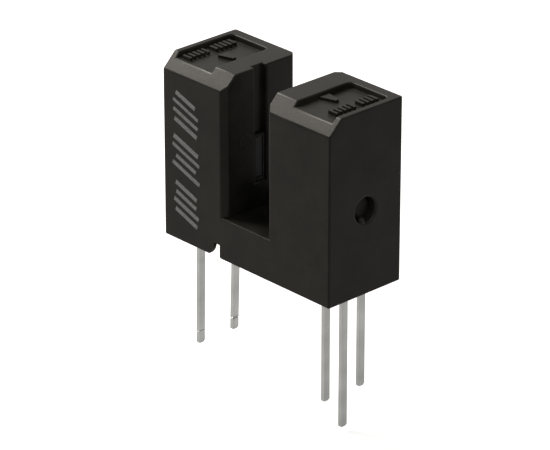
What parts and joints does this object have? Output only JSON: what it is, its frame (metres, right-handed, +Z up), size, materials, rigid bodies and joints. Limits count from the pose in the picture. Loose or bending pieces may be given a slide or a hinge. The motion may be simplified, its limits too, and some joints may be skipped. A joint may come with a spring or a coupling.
{
  "type": "slotted optical switch",
  "caption": "U-shaped optical switch for a circuit board: emitter and detector face each other across a slot, on flat leads.",
  "frame": {"origin": "centre of the housing's underside, which is the face that seats on the circuit board", "axes": "+Z up from the board, X across the slot with the emitter at -X and the detector at +X, Y along the slot, chamfered front at -Y"},
  "size_m": [0.0122, 0.005, 0.018],
  "materials": {
    "housing_plastic": "black moulded nylon, fine matt texture",
    "emitter_epoxy": "tinted epoxy",
    "detector_epoxy": "infrared-passing black epoxy",
    "lead_tin": "matt tin plate over steel",
    "chip": "polished semiconductor",
    "die_bond": "silver-filled epoxy",
    "gold_wire": "bright gold"
  },
  "bodies": {
    "root": {"housing": "housing_plastic", "emitter_capsule": "emitter_epoxy", "detector_capsule": "detector_epoxy", "cathode_lead": "lead_tin", "anode_lead": "lead_tin", "supply_lead": "lead_tin", "ground_lead": "lead_tin", "output_lead": "lead_tin", "emitter_chip": "chip", "detector_chip": "chip", "emitter_die_bond": "die_bond", "detector_die_bond": "die_bond", "emitter_bond_wire": "gold_wire", "supply_bond_wire": "gold_wire", "output_bond_wire": "gold_wire", "ground_bond_wire": "gold_wire"}
  },
  "joints": []
}
